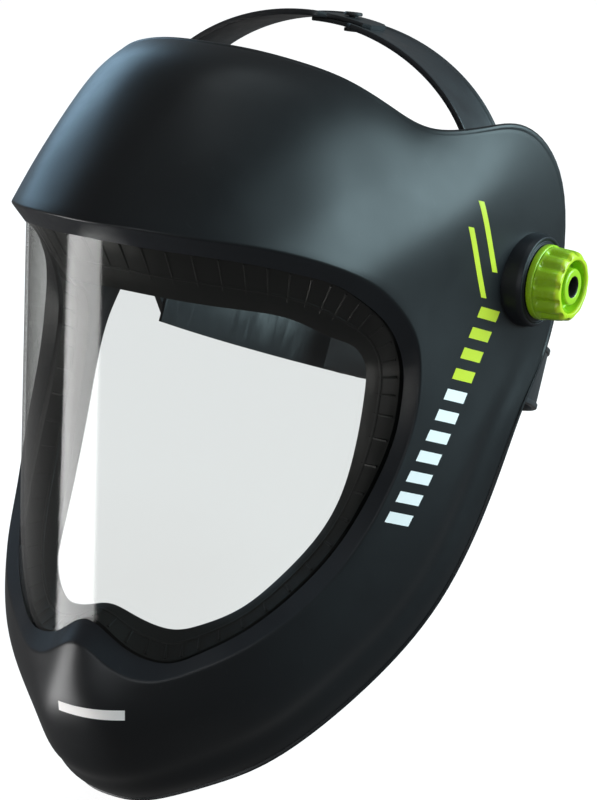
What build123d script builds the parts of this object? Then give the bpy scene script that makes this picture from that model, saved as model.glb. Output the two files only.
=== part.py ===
from build123d import *
import os
from math import atan2, cos, degrees, hypot, radians, sin

os.makedirs("parts", exist_ok=True)

# A face-shield head-top: a helmet shell with a wrap-round clear visor that tilts on a headgear.
# Origin: middle of the tilt axis. +X: the wearer's left. -Y: front. +Z: up. Millimetres.

# ---------------------------------------------------------------- driving dimensions
WALL = 2.8                  # helmet shell
LENS_THICK = 1.5
LENS_GAP = 0.3              # between lens and shell, and between lens and frame
LENS_LAP = 6.5              # how far the lens runs on behind the rim
FRAME_THICK = 2.2

BOSS_R = 22.0               # raised ring on the shell round each knob
BOSS_FACE_X = 120.6
INNER_BOSS_R = 13.0
INNER_BOSS_X = 104.8
BOLT_R = 5.0
BOLT_RUNNING = 0.07         # radial clearance of what turns on a pivot bolt
BOLT_END_X = 129.0

ARM_X = 94.5                # inner face of the side arms
ARM_THICK = 3.5
STOP_THICK = 4.2
WASHER_THICK = 2.2
WASHER_R = 14.0

KNOB_BASE_X = 120.9
KNOB_FLANGE_R = 17.0
KNOB_FLANGE = 3.4
KNOB_R = 16.4
KNOB_FACE_X = 136.6
KNOB_FLUTES = 12

CROWN_LEAN = 12.2           # degrees the crown strap leans back
CROWN_FORWARD = 8.0         # how far its middle plane stands in front of the tilt axis
CROWN_HALF_WIDTH = 94.2
CROWN_HEIGHT = 103.5        # from the tilt axis, along the lean
CROWN_FOOT = 30.0           # height of the arch's centre
CROWN_WIDTH = 32.0
STRAP_THICK = 2.0

BAND_CENTRE_Y = 22.0        # middle of the wearer's head
BAND_TILT = 14.0            # the forehead band rises to the front
BAND_CENTRE_Z = 12.0
BAND_HALF_WIDTH = 94.3
BAND_HALF_DEPTH = 102.0
BAND_THICK = 2.0
BAND_HEIGHT = 22.0

NAPE_TILT = 26.0            # the nape strap drops to the back
NAPE_START = (0, 25, -51.5)
NAPE_HALF_WIDTH = 94.3
NAPE_DEPTH = 119.0
NAPE_THICK = 1.5
NAPE_HEIGHT = 30.0
RACK_HEIGHT = 15.0          # the strap inside the ratchet housing
RACK_HALF_LENGTH = 46.0
RACK_PITCH = 3.0
SLOT_HALF_HEIGHT = 4.2

PINION_TEETH = 10
PINION_TIP_R = 5.0
PINION_ROOT_R = 3.9
RATCHET_KNOB_R = 19.0

HEART = Vector(0, -40, -40)  # a point well inside the helmet, which the shell's normals point away from

# ---------------------------------------------------------------- the helmet's outline
# One row for each rib of the wearer's left half, from the middle of the crown round the window to the
# middle of the chin. Each row: ridge of the window rim, three points on the outer face, free edge,
# visible edge of the lens, lip of the inner frame.
RIBS = [
    [(0, -182.5, 54.8), (0, -158, 76), (0, -130, 96.5), (0, -108, 108), (0, -88, 111.5),
     (0, -170, 43.5), (0, -154, 17)],
    [(22, -177.5, 53.5), (21, -154, 74.5), (21, -127, 95), (21, -105, 106.5), (21, -84.5, 110),
     (20, -167.5, 42.7), (17, -151.5, 16)],
    [(44, -164.5, 49.5), (43, -143, 70.5), (41, -117, 90), (40, -95, 102), (40, -77, 105.5),
     (40, -158, 40), (34, -142.5, 13)],
    [(63, -146, 44), (62, -125.5, 62.5), (60.5, -102.5, 81), (59, -82.5, 93), (58.5, -66.5, 97.5),
     (57, -143.5, 35.5), (48, -129, 9)],
    [(78, -126.5, 36), (78, -108.5, 52), (77, -88, 67), (76, -70.5, 79.5), (75.5, -56, 85),
     (70, -127, 29), (58, -115.5, 4)],
    [(87.5, -109.5, 27), (89.5, -92.5, 40), (90.5, -75.5, 53), (90.5, -58, 65.5), (90.5, -46, 75.5),
     (80, -110, 21), (64.5, -104, -3)],
    [(93, -95.5, 17.5), (97, -77, 31.5), (100, -57, 45.5), (101.5, -38, 59.5), (103.5, -22, 73),
     (86, -96.5, 10.5), (69.5, -94, -9.5)],
    [(97, -83.5, 5), (102, -62.5, 19), (106.5, -41, 34.5), (109.5, -17, 50.5), (110.5, 5.5, 66.5),
     (90.5, -84, -2.5), (73, -83, -16)],
    [(100.5, -75, -12), (105.5, -50.5, -2), (110.5, -25, 8.5), (114.5, 1.5, 20), (116.5, 27, 32),
     (93, -76, -20), (75, -77, -26)],
    [(102, -76, -33.5), (107, -53.5, -32), (111.5, -30.5, -30), (115.5, -6.5, -27.5), (118, 17, -25.5),
     (93.5, -76.5, -37), (75.3, -78, -38)],
    [(101, -83, -54.5), (106, -65.5, -56.5), (110.5, -47, -57.5), (114.5, -27.5, -57.5), (117.5, -8, -56.5),
     (93, -83, -56), (75, -83, -56)],
    [(97, -98, -79.5), (102.5, -83, -84), (108, -66, -88.5), (111.5, -48.5, -92), (113.5, -30.5, -94),
     (89.5, -97, -77), (73, -92, -79)],
    [(89.5, -116, -102.5), (96, -104.5, -112), (101, -90, -121.5), (104.5, -75.5, -129.5), (105, -60.5, -136.5),
     (83.5, -114.5, -97), (68, -105, -97.5)],
    [(79.5, -136.5, -119.5), (86, -128.5, -133), (89.5, -118, -147.5), (90, -107.5, -159.5), (89, -98.5, -168.5),
     (74, -134, -113.5), (60, -122, -112)],
    [(65, -156.5, -132.5), (70.5, -151.5, -151), (71.5, -143.5, -169), (69, -136.5, -182.5), (66, -130.5, -193.5),
     (61, -152.5, -127), (50, -138.5, -123.5)],
    [(48.5, -171.5, -141.5), (51, -169.5, -162.5), (49.5, -162, -182.5), (47, -156.5, -196.5), (45, -147.5, -205.5),
     (47, -167, -135.5), (38, -151.5, -129.5)],
    [(33, -183, -146), (33.5, -183, -166.5), (32.5, -177, -186), (30.5, -171.5, -200.5), (28.5, -159, -211.5),
     (34.5, -175.3, -139.7), (27, -159, -131.5)],
    [(16.5, -190, -141), (17.5, -194, -162.5), (17.5, -189, -184), (16.5, -181, -201.5), (15, -166, -215),
     (17, -181, -134), (13, -163.5, -127.5)],
    [(0, -192.5, -132), (0, -198, -156), (0, -193, -182), (0, -185, -201), (0, -168, -216),
     (0, -182.9, -124.4), (0, -165, -123.5)],
]


def flipped(rib):
    return [(-x, y, z) for x, y, z in rib]


# The lofts run one rib past the middle at each end and are cut there, so the two halves meet smoothly.
WRAPPED_RIBS = [flipped(RIBS[1]), *RIBS, flipped(RIBS[-2])]

# The lens is a cone of elliptical section. At each angle from the front, where it starts and ends.
LENS_CENTRE_Y = -30.0
LENS_COLUMNS = [
    (0, 50.2, -131.0),
    (10, 49.6, -141.0),
    (20, 48.0, -146.5),
    (29, 44.8, -143.0),
    (38, 40.6, -135.0),
    (47, 34.6, -124.5),
    (56, 26.0, -110.5),
    (64, 14.0, -94.5),
    (70, 1.0, -77.0),
    (74.5, -11.0, -58.0),
]


def lens_half_width(z):
    return 96 + (45 - z) / 30


def lens_half_depth(z):
    return 140 + (45 - z) * 14 / 180


def lens_point(angle, z, inset=0.0):
    """A point of the lens's outer face, or of a face that lies inset mm behind it."""
    across = (lens_half_width(z) - inset) * sin(radians(angle))
    ahead = (lens_half_depth(z) - inset) * cos(radians(angle))
    return Vector(across, LENS_CENTRE_Y - ahead, z)


def lens_normal(point):
    z = point.Z
    across = point.X / lens_half_width(z) ** 2
    ahead = (point.Y - LENS_CENTRE_Y) / lens_half_depth(z) ** 2
    return Vector(across, ahead, 0).normalized()


# ---------------------------------------------------------------- helpers
def rib_plane(rib):
    """The plane that a rib is drawn in: x from the ridge to the free edge, y outwards."""
    ridge = Vector(*rib[0])
    edge = Vector(*rib[4])
    along = (edge - ridge).normalized()
    outward = (ridge + edge) * 0.5 - HEART
    return Plane(origin=ridge, x_dir=along, z_dir=along.cross(outward))


def flat(plane, point):
    local = plane.to_local_coords(Vector(*point))
    return Vector(local.X, local.Y)


def left_of(vector):
    return Vector(-vector.Y, vector.X)


def meet(a, a_dir, b, b_dir):
    """Where two lines in a plane cross."""
    cross = a_dir.X * b_dir.Y - a_dir.Y * b_dir.X
    gap = b - a
    return a + a_dir * ((gap.X * b_dir.Y - gap.Y * b_dir.X) / cross)


def lens_direction(plane, foot_point):
    """In a rib's plane, the way along the lens face that leads away from the window."""
    normal = lens_normal(Vector(*foot_point))
    inward = Vector(-normal.dot(plane.x_dir), -normal.dot(plane.y_dir)).normalized()
    return left_of(inward) * (1 if left_of(inward).X > 0 else -1), inward


def mirrored(part):
    with BuildPart() as twin:
        mirror(part, about=Plane.YZ)
    return twin


def finish(builder, name):
    builder.part.label = name
    export_step(builder.part, f"parts/{name}.step")


def lens_slab(front, back, longer):
    """The lens's curved sheet between two depths behind its outer face, run on at the top and bottom."""
    with BuildPart() as slab:
        for angle, top, bottom in [(-10, 49.6, -141.0), *LENS_COLUMNS]:
            upper = lens_point(angle, top)
            lower = lens_point(angle, bottom)
            up = (upper - lower).normalized()
            outward = lens_normal((upper + lower) * 0.5)
            depth = (outward - up * outward.dot(up)).normalized()
            middle = (upper + lower) * 0.5 - depth * ((front + back) / 2)
            with BuildSketch(Plane(origin=middle, x_dir=depth, z_dir=depth.cross(up))):
                Rectangle(back - front, (upper - lower).length + 2 * longer)
        loft()
        split(bisect_by=Plane.YZ)
        mirror(about=Plane.YZ)
    return slab


# ---------------------------------------------------------------- helmet shell
with BuildPart() as helmet_shell:
    for rib in WRAPPED_RIBS:
        plane = rib_plane(rib)
        outer = [flat(plane, point) for point in rib[:5]]
        foot = flat(plane, rib[5])
        along_lens, inward = lens_direction(plane, rib[5])
        inner = []
        for before, here, after in zip(outer, outer[1:], outer[2:]):
            inner.append(here - left_of((after - before).normalized()) * WALL)
        end_dir = (outer[4] - outer[3]).normalized()
        inner.append(outer[4] - left_of(end_dir) * WALL)
        start_dir = (outer[1] - outer[0]).normalized()
        bevel_dir = (outer[0] - foot).normalized()
        bevel_back = foot - left_of(bevel_dir) * WALL
        face_back = outer[0] - left_of(start_dir) * WALL
        corner = meet(bevel_back, bevel_dir, face_back, start_dir)
        rim_back = meet(bevel_back, bevel_dir, foot, along_lens)
        with BuildSketch(plane):
            with BuildLine():
                Line(foot, outer[0])
                Spline(*outer)
                Line(outer[4], inner[3])
                Spline(*reversed(inner), corner)
                Line(corner, rim_back)
                Line(rim_back, foot)
            make_face()
    loft()
    split(bisect_by=Plane.YZ)
    with BuildSketch(Plane.YZ.offset(BOSS_FACE_X)):
        Circle(BOSS_R)
    extrude(amount=-9)
    with BuildSketch(Plane.YZ.offset(INNER_BOSS_X)):
        Circle(INNER_BOSS_R)
    extrude(amount=10)
    with BuildSketch(Plane.YZ.offset(INNER_BOSS_X - 1)):
        Circle(BOLT_R + BOLT_RUNNING)
    extrude(amount=20, mode=Mode.SUBTRACT)
    mirror(about=Plane.YZ)
    add(lens_slab(0, LENS_THICK + 2 * LENS_GAP, LENS_GAP).part, mode=Mode.SUBTRACT)
finish(helmet_shell, "helmet_shell")

# ---------------------------------------------------------------- lens
visor_lens = lens_slab(LENS_GAP, LENS_GAP + LENS_THICK, 0)
finish(visor_lens, "visor_lens")

# ---------------------------------------------------------------- inner frame that holds the lens
with BuildPart() as lens_frame:
    for rib in WRAPPED_RIBS:
        plane = rib_plane(rib)
        foot = flat(plane, rib[5])
        lip = flat(plane, rib[6])
        along_lens, inward = lens_direction(plane, rib[5])
        front = inward * (LENS_THICK + 2 * LENS_GAP)
        tip = foot + along_lens * (LENS_LAP - 1.0) + front
        knee = foot + front
        leg_dir = (lip - knee).normalized()
        side = left_of(leg_dir) * (1 if left_of(leg_dir).dot(along_lens) > 0 else -1)
        tip_back = tip + inward * FRAME_THICK
        lip_back = lip + side * FRAME_THICK
        knee_back = meet(tip_back, along_lens, lip_back, leg_dir)
        with BuildSketch(plane):
            with BuildLine():
                Polyline(tip, knee, lip, lip_back, knee_back, tip_back, close=True)
            make_face()
    loft()
    split(bisect_by=Plane.YZ)
    mirror(about=Plane.YZ)
    add(lens_slab(-8, LENS_THICK + 2 * LENS_GAP, 4).part, mode=Mode.SUBTRACT)
finish(lens_frame, "lens_frame")

# ---------------------------------------------------------------- clips that hold the frame
CLIP_RIBS = [2, 5, 9, 13, 16]
CLIP_WIDTH = 9.0
CLIP_HOOK_DEPTH = LENS_THICK + 2 * LENS_GAP + FRAME_THICK + 2.0
with BuildPart() as frame_clips:
    for number in CLIP_RIBS:
        foot = Vector(*RIBS[number][5])
        outward = lens_normal(foot)
        plane = rib_plane(RIBS[number])
        away = plane.x_dir - outward * plane.x_dir.dot(outward)
        hook = Plane(origin=foot, x_dir=away.normalized(), z_dir=outward)
        with BuildSketch(hook.offset(-CLIP_HOOK_DEPTH - 2.2)):
            with Locations((8.0, 0)):
                Rectangle(8.0, CLIP_WIDTH)
        extrude(amount=2.2)
        with BuildSketch(hook.offset(-CLIP_HOOK_DEPTH)):
            with Locations((11.0, 0)):
                Rectangle(2.0, CLIP_WIDTH)
        extrude(amount=CLIP_HOOK_DEPTH + 5)
    mirror(about=Plane.YZ)
    add(helmet_shell.part, mode=Mode.SUBTRACT)
# what stuck out through the shell is cut off
with BuildPart() as trimmed_clips:
    add(frame_clips.solids().sort_by(SortBy.VOLUME)[-2 * len(CLIP_RIBS):])
finish(trimmed_clips, "frame_clips")

# ---------------------------------------------------------------- knobs and what turns on the bolts
with BuildPart() as pivot_knob_left:
    with BuildSketch(Plane.YZ.offset(KNOB_BASE_X)):
        Circle(KNOB_FLANGE_R)
    extrude(amount=KNOB_FLANGE)
    with BuildSketch(Plane.YZ.offset(KNOB_BASE_X + KNOB_FLANGE)):
        Circle(KNOB_R)
        with PolarLocations(KNOB_R + 2.2, KNOB_FLUTES):
            Circle(3.4, mode=Mode.SUBTRACT)
    extrude(amount=KNOB_FACE_X - KNOB_BASE_X - KNOB_FLANGE)
    with BuildSketch(Plane.YZ.offset(KNOB_FACE_X - 7)):
        Circle(12.0)
        Circle(8.2, mode=Mode.SUBTRACT)
    extrude(amount=7, mode=Mode.SUBTRACT)
    with BuildSketch(Plane.YZ.offset(KNOB_BASE_X)):
        Circle(BOLT_R + BOLT_RUNNING)
    extrude(amount=BOLT_END_X + 0.3 - KNOB_BASE_X, mode=Mode.SUBTRACT)
    with BuildSketch(Plane.YZ.offset(BOLT_END_X)):
        Circle(4.4)
    extrude(amount=KNOB_FACE_X - BOLT_END_X, mode=Mode.SUBTRACT)
finish(pivot_knob_left, "pivot_knob_left")

with BuildPart() as pivot_bolt_left:
    with BuildSketch(Plane.YZ.offset(ARM_X - 4)):
        RegularPolygon(8.0, 6)
    extrude(amount=4)
    with BuildSketch(Plane.YZ.offset(ARM_X)):
        Circle(BOLT_R)
    extrude(amount=BOLT_END_X - ARM_X)
    chamfer(pivot_bolt_left.edges().sort_by(Axis.X)[-1], 0.8)
finish(pivot_bolt_left, "pivot_bolt_left")

with BuildPart() as tilt_stop_left:
    with BuildSketch(Plane.YZ.offset(ARM_X + ARM_THICK)):
        Circle(15.0)
        with Locations((0, -15)):
            Rectangle(7, 9)
        Circle(BOLT_R + 0.05, mode=Mode.SUBTRACT)
    extrude(amount=STOP_THICK)
finish(tilt_stop_left, "tilt_stop_left")

with BuildPart() as friction_washer_left:
    with BuildSketch(Plane.YZ.offset(ARM_X + ARM_THICK + STOP_THICK + 0.1)):
        Circle(WASHER_R)
        Circle(BOLT_R + 0.05, mode=Mode.SUBTRACT)
    extrude(amount=WASHER_THICK)
finish(friction_washer_left, "friction_washer_left")

# ---------------------------------------------------------------- side arm
CROWN_JOINT = (-7.0, 32.0)      # y and z of the crown strap's foot
NAPE_JOINT = (25.0, -51.5)      # y and z of the nape strap's end
band_plane = Plane(
    origin=(0, BAND_CENTRE_Y, BAND_CENTRE_Z), x_dir=(1, 0, 0),
    z_dir=(0, sin(radians(BAND_TILT)), cos(radians(BAND_TILT))),
)
LUG_HEIGHT = 18.0
LUG_DROP = 2.0              # the lug sits this far below the band's middle
RIVET_R = 2.0
RIVET_CLEAR = 0.06
RIVET_HEAD_R = 3.6
CROWN_RIVETS = ((-11.5, 38.0), (1.5, 39.0))
STUD_SPOT = (21.9, -45.0)
BAND_RIVET = (-16.8, 20.7)
SCREW_R = 1.8

with BuildPart() as side_arm_left:
    with BuildSketch(Plane.YZ.offset(ARM_X)):
        Circle(19)
        for joint, width in ((CROWN_JOINT, 30), (NAPE_JOINT, 27)):
            reach = hypot(*joint)
            with Locations((joint[0] / 2, joint[1] / 2)):
                SlotCenterToCenter(reach, width, rotation=degrees(atan2(joint[1], joint[0])))
    extrude(amount=ARM_THICK)
    with BuildSketch(band_plane.offset(-LUG_HEIGHT / 2 - LUG_DROP)):
        with BuildLine():
            Polyline(
                (ARM_X + ARM_THICK, -30), (ARM_X + ARM_THICK, -36), (79.5, -62), (70, -62), (70, -30), close=True,
            )
        make_face()
        Ellipse(BAND_HALF_WIDTH + 0.2, BAND_HALF_DEPTH + 0.2, mode=Mode.SUBTRACT)
    extrude(amount=LUG_HEIGHT)
    with BuildSketch(Plane.YZ.offset(60)):
        with Locations((0.78 * NAPE_JOINT[0], 0.78 * NAPE_JOINT[1])):
            SlotOverall(22, 6, rotation=degrees(atan2(NAPE_JOINT[1], NAPE_JOINT[0])))
        Circle(BOLT_R + 0.05)
        with Locations(*CROWN_RIVETS, BAND_RIVET):
            Circle(RIVET_R + RIVET_CLEAR)
    extrude(amount=50, mode=Mode.SUBTRACT)
finish(side_arm_left, "side_arm_left")

# ---------------------------------------------------------------- forehead band and sweatband
with BuildPart() as forehead_band:
    with BuildSketch(band_plane.offset(-BAND_HEIGHT / 2)):
        Ellipse(BAND_HALF_WIDTH, BAND_HALF_DEPTH)
        Ellipse(BAND_HALF_WIDTH - BAND_THICK, BAND_HALF_DEPTH - BAND_THICK, mode=Mode.SUBTRACT)
        with Locations((0, -34 - 50)):
            Rectangle(220, 100, mode=Mode.INTERSECT)
    extrude(amount=BAND_HEIGHT)
    with BuildSketch(Plane.YZ.offset(-100)):
        with Locations(BAND_RIVET):
            Circle(RIVET_R + RIVET_CLEAR)
    extrude(amount=200, mode=Mode.SUBTRACT)
finish(forehead_band, "forehead_band")

PAD_THICK = 7.0
PAD_GAP = 0.4
with BuildPart() as sweatband:
    with BuildSketch(band_plane.offset(-BAND_HEIGHT / 2)):
        Ellipse(BAND_HALF_WIDTH - BAND_THICK - PAD_GAP, BAND_HALF_DEPTH - BAND_THICK - PAD_GAP)
        Ellipse(
            BAND_HALF_WIDTH - BAND_THICK - PAD_GAP - PAD_THICK,
            BAND_HALF_DEPTH - BAND_THICK - PAD_GAP - PAD_THICK,
            mode=Mode.SUBTRACT,
        )
        with Locations((0, -50 - 50)):
            Rectangle(220, 100, mode=Mode.INTERSECT)
    extrude(amount=BAND_HEIGHT + 2)
finish(sweatband, "sweatband")

# ---------------------------------------------------------------- crown strap
lean = Vector(0, sin(radians(CROWN_LEAN)), cos(radians(CROWN_LEAN)))
across_strap = Vector(0, -cos(radians(CROWN_LEAN)), sin(radians(CROWN_LEAN)))
crown_plane = Plane(origin=across_strap * CROWN_FORWARD, x_dir=(1, 0, 0), z_dir=across_strap)
PIN_X = 12.0
PIN_R = 2.1
HOLE_PITCH = 9.0


def crown_half(rise, end_x, pin_x):
    """One half of the crown strap: a quarter arch that ends past the middle."""
    top_plane = Plane(origin=across_strap * CROWN_FORWARD, x_dir=(1, 0, 0), z_dir=lean)
    outer_height = CROWN_HEIGHT - CROWN_FOOT + rise
    with BuildPart() as half:
        with BuildSketch(crown_plane.offset(-CROWN_WIDTH / 2)):
            with Locations((0, CROWN_FOOT)):
                Ellipse(CROWN_HALF_WIDTH, outer_height)
                Ellipse(CROWN_HALF_WIDTH - STRAP_THICK, outer_height - STRAP_THICK, mode=Mode.SUBTRACT)
            with Locations(((end_x + 120) / 2, CROWN_FOOT + 61.5)):
                Rectangle(120 - end_x, 120, mode=Mode.INTERSECT)
        extrude(amount=CROWN_WIDTH)
        with BuildSketch(top_plane.offset(CROWN_HEIGHT - 20)):
            for step in (-1, 0, 1):
                with Locations((pin_x + step * HOLE_PITCH, 0)):
                    Circle(PIN_R + 0.1)
            for edge in (-1, 1):
                with Locations((end_x + 8, edge * CROWN_WIDTH / 2)):
                    Rectangle(30, 12)
        extrude(amount=40, mode=Mode.SUBTRACT)
        with BuildSketch(Plane.YZ.offset(84)):
            with Locations(*CROWN_RIVETS):
                Circle(RIVET_R + RIVET_CLEAR)
        extrude(amount=20, mode=Mode.SUBTRACT)
    return half


crown_strap_left = crown_half(0.0, -6.0, PIN_X)
finish(crown_strap_left, "crown_strap_left")
crown_strap_right = mirrored(crown_half(STRAP_THICK + 0.2, -26.0, -PIN_X).part)
finish(crown_strap_right, "crown_strap_right")

with BuildPart() as crown_pin:
    pin_plane = Plane(origin=across_strap * CROWN_FORWARD + Vector(PIN_X, 0, 0), x_dir=(1, 0, 0), z_dir=lean)
    with BuildSketch(pin_plane.offset(98.5)):
        Circle(3.6)
    extrude(amount=1.6)
    with BuildSketch(pin_plane.offset(99.5)):
        Circle(PIN_R)
    extrude(amount=6.8)
    with BuildSketch(pin_plane.offset(105.8)):
        Circle(4.2)
    extrude(amount=1.6)
    fillet(crown_pin.edges().sort_by(Axis.Z)[-1], 0.7)
finish(crown_pin, "crown_pin")

# ---------------------------------------------------------------- nape straps, two racks facing each other
nape_down = Vector(0, cos(radians(NAPE_TILT)), -sin(radians(NAPE_TILT)))
nape_up = Vector(0, sin(radians(NAPE_TILT)), cos(radians(NAPE_TILT)))
nape_plane = Plane(origin=NAPE_START, x_dir=(1, 0, 0), z_dir=nape_up)
back_plane = Plane(origin=NAPE_START, x_dir=(1, 0, 0), z_dir=nape_down)


def nape_ring(outer, inner):
    """Two ellipses around the nape, given as offsets from the outer face of the outer strap."""
    Ellipse(NAPE_HALF_WIDTH + outer, NAPE_DEPTH + outer)
    Ellipse(NAPE_HALF_WIDTH + inner, NAPE_DEPTH + inner, mode=Mode.SUBTRACT)


def nape_half(depth_less, teeth_side):
    """One nape strap: a tongue on the side arm, the wide strap, and a narrow toothed tail."""
    with BuildPart() as half:
        with BuildSketch(nape_plane.offset(-NAPE_HEIGHT / 2)):
            Ellipse(NAPE_HALF_WIDTH, NAPE_DEPTH - depth_less)
            Ellipse(NAPE_HALF_WIDTH - NAPE_THICK, NAPE_DEPTH - depth_less - NAPE_THICK, mode=Mode.SUBTRACT)
            with Locations((37, 100)):
                Rectangle(126, 200, mode=Mode.INTERSECT)
            with Locations((NAPE_HALF_WIDTH - NAPE_THICK / 2, -6.9)):
                Rectangle(NAPE_THICK, 14)
        extrude(amount=NAPE_HEIGHT)
        with BuildSketch(back_plane):
            for edge in (-1, 1):
                with Locations((-4, edge * (RACK_HEIGHT + 20) / 2)):
                    Rectangle(2 * RACK_HALF_LENGTH + 8, 20)
            Rectangle(RACK_HALF_LENGTH, 2 * SLOT_HALF_HEIGHT)
            with Locations((0, -teeth_side * 1.2)):
                Rectangle(RACK_HALF_LENGTH, 2 * SLOT_HALF_HEIGHT)
            for tooth in range(-7, 8):
                with Locations((tooth * RACK_PITCH, teeth_side * (SLOT_HALF_HEIGHT + 0.5))):
                    Rectangle(1.6, 1.2)
        extrude(amount=160, mode=Mode.SUBTRACT)
        with BuildSketch(Plane.YZ.offset(80)):
            with Locations(STUD_SPOT):
                Circle(RIVET_R + RIVET_CLEAR)
        extrude(amount=20, mode=Mode.SUBTRACT)
    return half


nape_strap_left = nape_half(0.0, 1)
finish(nape_strap_left, "nape_strap_left")
nape_strap_right = mirrored(nape_half(1.7, -1).part)
finish(nape_strap_right, "nape_strap_right")

# ---------------------------------------------------------------- rivets and studs of the side arms
with BuildPart() as arm_rivets:
    for spot in CROWN_RIVETS:
        with BuildSketch(Plane.YZ.offset(CROWN_HALF_WIDTH - STRAP_THICK - 3.3)):
            with Locations(spot):
                Circle(RIVET_HEAD_R)
        extrude(amount=1.5)
        with BuildSketch(Plane.YZ.offset(CROWN_HALF_WIDTH - STRAP_THICK - 1.9)):
            with Locations(spot):
                Circle(RIVET_R)
        extrude(amount=7.9)
        with BuildSketch(Plane.YZ.offset(ARM_X + ARM_THICK + 0.2)):
            with Locations(spot):
                Circle(RIVET_HEAD_R)
        extrude(amount=1.4)
    with BuildSketch(Plane.YZ.offset(NAPE_HALF_WIDTH - NAPE_THICK - 2.2)):
        with Locations(STUD_SPOT):
            Circle(4.4)
    extrude(amount=2)
    with BuildSketch(Plane.YZ.offset(NAPE_HALF_WIDTH - NAPE_THICK - 0.2)):
        with Locations(STUD_SPOT):
            Circle(RIVET_R)
    extrude(amount=6)
    with BuildSketch(Plane.YZ.offset(ARM_X + ARM_THICK + 0.2)):
        with Locations(STUD_SPOT):
            Circle(5.2)
    extrude(amount=2.2)
    with BuildSketch(Plane.YZ.offset(80.8)):
        with Locations(BAND_RIVET):
            Circle(3.4)
    extrude(amount=2)
    with BuildSketch(Plane.YZ.offset(82.8)):
        with Locations(BAND_RIVET):
            Circle(RIVET_R)
    extrude(amount=12)
    mirror(about=Plane.YZ)
finish(arm_rivets, "arm_rivets")

# ---------------------------------------------------------------- ratchet unit and its knob
with BuildPart() as ratchet_cover:
    with BuildSketch(nape_plane.offset(-24)):
        nape_ring(3.0, 0.3)
    extrude(amount=48)
    with BuildSketch(nape_plane.offset(-10.6)):
        nape_ring(0.4, -3.4)
    extrude(amount=21.2)
    with BuildSketch(nape_plane.offset(-8.1)):
        nape_ring(0.3, -3.5)
    extrude(amount=16.2, mode=Mode.SUBTRACT)
    with BuildSketch(back_plane):
        SlotOverall(84, 26)
        Circle(21)
    extrude(amount=160, mode=Mode.INTERSECT)
    with BuildSketch(back_plane):
        Circle(4.05)
    extrude(amount=160, mode=Mode.SUBTRACT)
finish(ratchet_cover, "ratchet_cover")

with BuildPart() as ratchet_housing:
    with BuildSketch(nape_plane.offset(-24)):
        nape_ring(-3.5, -6.2)
    extrude(amount=48)
    with BuildSketch(back_plane):
        SlotOverall(84, 26)
        Circle(21)
    extrude(amount=160, mode=Mode.INTERSECT)
    with BuildSketch(back_plane):
        Circle(SCREW_R + 0.05)
    extrude(amount=160, mode=Mode.SUBTRACT)
finish(ratchet_housing, "ratchet_housing")

with BuildPart() as nape_pad:
    with BuildSketch(nape_plane.offset(-17)):
        nape_ring(-6.6, -14.6)
        with Locations((0, 100)):
            Rectangle(104, 120, mode=Mode.INTERSECT)
    extrude(amount=34)
    with BuildSketch(back_plane.offset(NAPE_DEPTH - 10.2)):
        Circle(6)
    extrude(amount=20, mode=Mode.SUBTRACT)
finish(nape_pad, "nape_pad")

with BuildPart() as ratchet_knob:
    with BuildSketch(back_plane.offset(NAPE_DEPTH + 3.4)):
        Circle(RATCHET_KNOB_R)
    extrude(amount=2)
    with BuildSketch(back_plane.offset(NAPE_DEPTH + 5.4)):
        Circle(RATCHET_KNOB_R - 1)
        with PolarLocations(RATCHET_KNOB_R + 1, 16):
            Circle(2.8, mode=Mode.SUBTRACT)
    extrude(amount=10)
    with BuildSketch(back_plane.offset(NAPE_DEPTH + 0.3)):
        Circle(4.0)
    extrude(amount=4)
    with BuildSketch(back_plane):
        Circle(SCREW_R + 0.05)
    extrude(amount=NAPE_DEPTH + 10, mode=Mode.SUBTRACT)
    with BuildSketch(back_plane.offset(NAPE_DEPTH + 14.4)):
        Circle(12.5)
    extrude(amount=4, mode=Mode.SUBTRACT)
finish(ratchet_knob, "ratchet_knob")

with BuildPart() as ratchet_pinion:
    with BuildSketch(back_plane.offset(NAPE_DEPTH - 3.3)):
        Circle(PINION_ROOT_R)
        with PolarLocations((PINION_TIP_R + PINION_ROOT_R) / 2, PINION_TEETH, start_angle=90):
            Rectangle(PINION_TIP_R - PINION_ROOT_R + 0.4, 1.2)
        Circle(SCREW_R + 0.05, mode=Mode.SUBTRACT)
    extrude(amount=3.4)
finish(ratchet_pinion, "ratchet_pinion")

with BuildPart() as ratchet_screw:
    with BuildSketch(back_plane.offset(NAPE_DEPTH - 8.6)):
        RegularPolygon(3.8, 6)
    extrude(amount=2.2)
    with BuildSketch(back_plane.offset(NAPE_DEPTH - 6.4)):
        Circle(SCREW_R)
    extrude(amount=15)
finish(ratchet_screw, "ratchet_screw")

# ---------------------------------------------------------------- the other side
for builder, name in (
    (pivot_knob_left, "pivot_knob_right"),
    (pivot_bolt_left, "pivot_bolt_right"),
    (tilt_stop_left, "tilt_stop_right"),
    (friction_washer_left, "friction_washer_right"),
    (side_arm_left, "side_arm_right"),
):
    finish(mirrored(builder.part), name)
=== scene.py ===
from math import cos, hypot, pi, radians, sin

import bmesh
import bpy
import numpy as np
from mathutils import Matrix, Vector
from mathutils.bvhtree import BVHTree


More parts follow.
